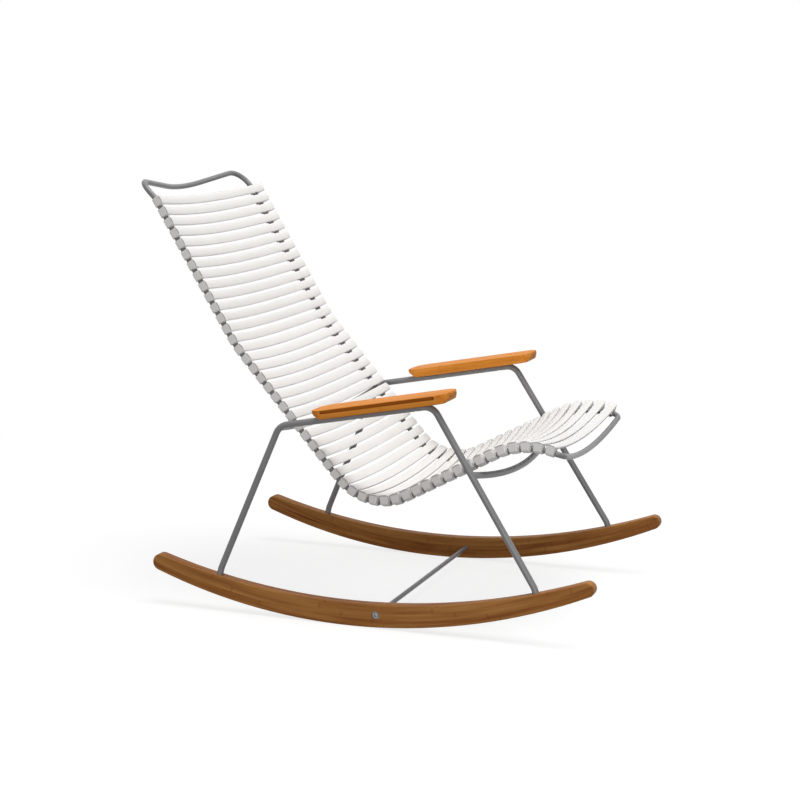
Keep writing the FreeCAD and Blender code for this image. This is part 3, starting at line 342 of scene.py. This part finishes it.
# %% Streaks, fibres and knuckles
STREAKS = {"lengthwise": 3.0, "crosswise": 60.0}
FIBRES = {"lengthwise": 14.0, "crosswise": 900.0}
KNUCKLE_HALF_WIDTH = 0.004
KNUCKLE_WANDER = 0.012
KNUCKLE_SOFTNESS = 0.3


def drawn_out(graph, along, across, through, lengthwise, crosswise):
    """Coordinates for a noise whose blotches are long and thin, like fibres."""
    return graph.combine(
        graph.product(along, lengthwise),
        graph.product(across, crosswise),
        graph.product(through, crosswise),
    )


def knuckle_lines(graph, along, stretched, tint, spacing):
    """0 on the thin lines where the cane had its joints, and 1 between them."""
    wander = graph.product(graph.noise(stretched, scale=0.7, detail=1.0), KNUCKLE_WANDER)
    start = graph.product(tint, spacing)
    phase = graph.math("ADD", graph.math("ADD", along, wander), start)
    distance = graph.math("PINGPONG", phase, spacing / 2)
    in_half_widths = graph.product(distance, 1 / KNUCKLE_HALF_WIDTH)
    return graph.math("SMOOTH_MIN", in_half_widths, 1.0, KNUCKLE_SOFTNESS)


print("knuckles are", 2 * KNUCKLE_HALF_WIDTH, "m wide")

# %% [markdown]
# The finish lays these over one another: first the streaks, from dark to light, then the darker
# fibres, then the tint of the whole strip, and last the knuckles. One large noise could do for all
# of it, but then no strip would stand apart from its neighbour. The fibres and the knuckles also
# give the relief, and the fibres set the roughness.

# %% Bamboo from strips, streaks and knuckles
LARGEST_SHIFT = 7.0
FIBRE_SHADE = 0.35
KNUCKLE_SHADE = 0.35
FIBRE_RELIEF = 0.5
KNUCKLE_RELIEF = 0.15


def bamboo(graph, along, across, through, colours, strip_width, knuckle_spacing):
    """Colour, roughness and relief of laminated bamboo. The three coordinates are in metres."""
    dark, middle, light = colours
    tint = strip_tint(graph, across, through, strip_width)
    shifted = graph.math("ADD", along, graph.product(tint, LARGEST_SHIFT))
    broad = drawn_out(graph, shifted, across, through, **STREAKS)
    fine = drawn_out(graph, shifted, across, through, **FIBRES)
    streak = graph.noise(broad, scale=1.6, detail=4.0, roughness=0.6)
    fibre = graph.noise(fine, scale=1.0, detail=3.0, roughness=0.6)
    clear = knuckle_lines(graph, along, broad, tint, knuckle_spacing)
    knuckle = graph.math("SUBTRACT", 1.0, clear)
    tone = graph.ramp(streak, [(0.28, dark), (0.5, middle), (0.74, light)])
    tone = graph.mix(graph.product(fibre, FIBRE_SHADE), tone, dark)
    tone = graph.mix(graph.between(-0.02, 0.28, tint), tone, light)
    tone = graph.mix(graph.product(knuckle, KNUCKLE_SHADE), tone, dark)
    knuckle_dip = graph.product(clear, KNUCKLE_RELIEF)
    relief = graph.math("ADD", graph.product(fibre, FIBRE_RELIEF), knuckle_dip)
    return tone, graph.between(0.36, 0.54, fibre), relief


print("strips shift by up to", LARGEST_SHIFT, "m")

# %% [markdown]
# ## Armrests
# The armrests are honey-coloured and almost matt. They rise towards the front, so we first turn
# the coordinates until they lie level with the armrest. The groove along the outer side gets
# painted shade, which makes it darker than the rest. It could be painted on a picture of the
# armrest. But in the turned coordinates the groove is a plain box, so a few comparisons find its
# walls and floor to a tenth of a millimetre.

# %% Find the groove
ARMREST_SLOPE = math.radians(10.439)
GROOVE_LEVEL = 0.45605
GROOVE_HALF_HEIGHT = 0.0037
GROOVE_MIDDLE = -0.15758
GROOVE_HALF_LENGTH = 0.1272
GROOVE_FLOOR_X = 0.3286
GROOVE_MOUTH_X = 0.3338


def inside_groove(graph, x, y, z):
    """1 on the walls and the floor of the groove, which lie just inside the outer side, else 0."""
    above = graph.math("ABSOLUTE", graph.math("SUBTRACT", z, GROOVE_LEVEL))
    beyond = graph.math("ABSOLUTE", graph.math("SUBTRACT", y, GROOVE_MIDDLE))
    across = graph.math("ABSOLUTE", x)
    return graph.product(
        graph.math("LESS_THAN", above, GROOVE_HALF_HEIGHT),
        graph.math("LESS_THAN", beyond, GROOVE_HALF_LENGTH),
        graph.math("GREATER_THAN", across, GROOVE_FLOOR_X),
        graph.math("LESS_THAN", across, GROOVE_MOUTH_X),
    )


print("groove is", 2 * GROOVE_HALF_LENGTH, "m long")

# %% Honey-coloured bamboo
HONEY = (colour(0.57, 0.170, 0.018), colour(0.745, 0.265, 0.035), colour(0.85, 0.36, 0.072))
# The deeper honey below is painted shade for the groove.
HONEY_GROOVE_SHADE = colour(0.36, 0.10, 0.012)
GROOVE_SHADE_AMOUNT = 0.75
ARMREST_STRIP = 0.0145
ARMREST_KNUCKLES = 0.21


def make_armrest_finish():
    """Honey-coloured bamboo, with painted shade darkening the groove."""
    graph = Graph("honey_bamboo")
    place = place_coordinates(graph)
    level = graph.node("Mapping", {"Vector": place, "Rotation": (ARMREST_SLOPE, 0.0, 0.0)})
    x, y, z = graph.separate(level.outputs[0])
    tone, rough, relief = bamboo(graph, y, x, z, HONEY, ARMREST_STRIP, ARMREST_KNUCKLES)
    # Painted shade: the groove's walls and floor are darkened towards the deeper honey.
    groove_shade = graph.product(inside_groove(graph, x, y, z), GROOVE_SHADE_AMOUNT)
    tone = graph.mix(groove_shade, tone, HONEY_GROOVE_SHADE)
    skin = graph.node("BsdfPrincipled", {
        "Base Color": tone,
        "Roughness": rough,
        "Specular IOR Level": 0.03,
        "Normal": graph.bump(relief, strength=0.18, distance=0.0006),
    })
    return graph.finish(skin.outputs[0])


paint(make_armrest_finish(), "armrest_left", "armrest_right")

# %% [markdown]
# ## Runners
# The runners are bent from the same material, stained dark brown. Their strips follow the curve of
# the runner, so the pattern is laid out round the centre of that curve: the angle round it gives
# the place along the runner, and the distance from it the place across.

# %% Dark bamboo
BROWN = (colour(0.18, 0.048, 0.009), colour(0.37, 0.148, 0.036), colour(0.58, 0.285, 0.088))
RUNNER_STRIP = 0.0122
RUNNER_KNUCKLES = 0.26
RUNNER_RADIUS = 1.275
RUNNER_CENTRE_Y = 0.006


def make_runner_finish():
    """Dark bamboo, laid out round the centre of the runners' curve."""
    graph = Graph("dark_bamboo")
    x, y, z = graph.separate(place_coordinates(graph))
    from_centre_y = graph.math("SUBTRACT", y, RUNNER_CENTRE_Y)
    from_centre_z = graph.math("SUBTRACT", RUNNER_RADIUS, z)
    square_z = graph.product(from_centre_z, from_centre_z)
    squares = graph.math("MULTIPLY_ADD", from_centre_y, from_centre_y, square_z)
    radius = graph.math("SQRT", squares)
    angle = graph.math("ARCTAN2", from_centre_y, from_centre_z)
    along = graph.product(angle, RUNNER_RADIUS)
    tone, rough, relief = bamboo(graph, along, radius, x, BROWN, RUNNER_STRIP, RUNNER_KNUCKLES)
    skin = graph.node("BsdfPrincipled", {
        "Base Color": tone,
        "Roughness": rough,
        "Specular IOR Level": 0.1,
        "Normal": graph.bump(relief, strength=0.2, distance=0.0006),
    })
    return graph.finish(skin.outputs[0])


paint(make_runner_finish(), "runner_left", "runner_right")

# %% [markdown]
# ## Screws
# Small steel screws and washers are turned on a lathe, which leaves fine marks. The marks could be
# drawn as rings, but the screws are only a few millimetres wide. A fine noise in their colour and
# roughness is enough.

# %% Steel screw finish
STEEL_DARK = colour(0.20, 0.20, 0.205)
STEEL_LIGHT = colour(0.30, 0.30, 0.305)


def make_screw_finish():
    graph = Graph("plain_steel_screw")
    place = place_coordinates(graph)
    scratch = graph.noise(place, scale=1500.0, detail=2.0)
    skin = graph.node("BsdfPrincipled", {
        "Base Color": graph.ramp(scratch, [(0.3, STEEL_DARK), (0.7, STEEL_LIGHT)]),
        "Roughness": graph.between(0.28, 0.48, scratch),
        "Metallic": 0.85,
    })
    return graph.finish(skin.outputs[0])


paint(make_screw_finish(), "stretcher_screws", "frame_screws")

# %% [markdown]
# ## Floor
# The chair stands on a plain pale floor. A photographer lights such a floor until it is white, but
# that light would also wash out the chair. So the floor gets its white from a glow that only the
# camera and reflections see. Near the chair the glow is partial, which leaves room for the soft
# shadow. Further out it rises to full white, so that no horizon shows.

# %% Tell what is seen from what is lit


def seen_directly(tree):
    """1 for rays from the camera, or by way of a reflection or clear material, and 0 for light."""
    path = tree.nodes.new("ShaderNodeLightPath")
    seen = path.outputs["Is Camera Ray"]
    for ray in ("Is Glossy Ray", "Is Transmission Ray"):
        either = tree.nodes.new("ShaderNodeMath")
        either.operation = "MAXIMUM"
        tree.links.new(seen, either.inputs[0])
        tree.links.new(path.outputs[ray], either.inputs[1])
        seen = either.outputs[0]
    return seen


print("glow is kept for camera, glossy and transmission rays")

# %% Floor finish
FLOOR_TONE = 0.28
FLOOR_TONE_LIGHT = 0.29
FLOOR_GLOW = 0.79
GLOW_NEAR = 0.75
GLOW_FAR = 2.2


def make_floor_finish():
    graph = Graph("pale_floor")
    place = place_coordinates(graph)
    cloud = graph.noise(place, scale=1.2, detail=2.0)
    tone = graph.ramp(cloud, [(0.3, grey(FLOOR_TONE)), (0.7, grey(FLOOR_TONE_LIGHT))])
    paper = graph.node("BsdfDiffuse", {"Color": tone})
    glow = graph.node("Emission", {"Color": grey(1.0), "Strength": FLOOR_GLOW})
    near = graph.node("AddShader", {0: paper.outputs[0], 1: glow.outputs[0]})
    white = graph.node("Emission", {"Color": grey(1.0), "Strength": 1.0})
    distance = graph.node("VectorMath", {0: place}, operation="LENGTH").outputs["Value"]
    outwards = graph.node("MapRange", {
        "Value": distance, "From Min": GLOW_NEAR, "From Max": GLOW_FAR,
    }, interpolation_type="SMOOTHSTEP").outputs[0]
    glowing = graph.node("MixShader", {0: outwards, 1: near.outputs[0], 2: white.outputs[0]})
    seen = seen_directly(graph.tree)
    shader = graph.node("MixShader", {0: seen, 1: paper.outputs[0], 2: glowing.outputs[0]})
    return graph.finish(shader.outputs[0])


print("glow rises to white from", GLOW_NEAR, "to", GLOW_FAR, "m")

# %% Floor
FLOOR_HALF_WIDTH = 30.0


def make_floor():
    half = FLOOR_HALF_WIDTH
    mesh = bpy.data.meshes.new("floor")
    corners = [(-half, -half, 0), (half, -half, 0), (half, half, 0), (-half, half, 0)]
    mesh.from_pydata(corners, [], [(0, 1, 2, 3)])
    mesh.materials.append(make_floor_finish())
    floor = bpy.data.objects.new("floor", mesh)
    bpy.context.scene.collection.objects.link(floor)
    print("floor", 2 * half, "m wide")


make_floor()

# %% [markdown]
# ## Light
# A plain studio: an even dome, a large soft lamp high above the chair and a weak one from the
# camera's side. The dome is kept low, so that the sides that face away from the lamps stay darker
# and the round tubes and bowed slats keep their form. To the camera and in reflections the dome
# is white.

# %% World
DOME_STRENGTH = 0.27
SEEN_STRENGTH = 1.0


def make_world():
    world = bpy.data.worlds.new("studio")
    bpy.context.scene.world = world
    world.use_nodes = True
    tree = world.node_tree
    tree.nodes.clear()
    out = tree.nodes.new("ShaderNodeOutputWorld")
    background = tree.nodes.new("ShaderNodeBackground")
    background.inputs["Color"].default_value = grey(1.0)
    strength = tree.nodes.new("ShaderNodeMapRange")
    strength.inputs["To Min"].default_value = DOME_STRENGTH
    strength.inputs["To Max"].default_value = SEEN_STRENGTH
    tree.links.new(seen_directly(tree), strength.inputs["Value"])
    tree.links.new(strength.outputs[0], background.inputs["Strength"])
    tree.links.new(background.outputs[0], out.inputs[0])
    print("dome", DOME_STRENGTH, "and seen at", SEEN_STRENGTH)


make_world()

# %% [markdown]
# The lamps are large and stand well away from the chair, so that its head and its feet get nearly
# the same light. Both point at the middle of the seat.

# %% Lamps
LAMP_TARGET = Vector((0.0, 0.0, 0.4))


def add_lamp(name, place, size, power):
    data = bpy.data.lights.new(name, "AREA")
    data.shape = "RECTANGLE"
    data.size, data.size_y = size
    data.energy = power
    lamp = bpy.data.objects.new(name, data)
    lamp.location = place
    lamp.rotation_euler = (LAMP_TARGET - lamp.location).to_track_quat("-Z", "Y").to_euler()
    bpy.context.scene.collection.objects.link(lamp)
    print(name, "lamp", power, "W")


add_lamp("key", place=(-0.4, -0.9, 5.0), size=(3.0, 3.0), power=186.0)
add_lamp("fill", place=(-4.6, -2.0, 0.9), size=(2.6, 1.6), power=62.0)

# %% Finish
bpy.context.scene.view_settings.view_transform = "Standard"
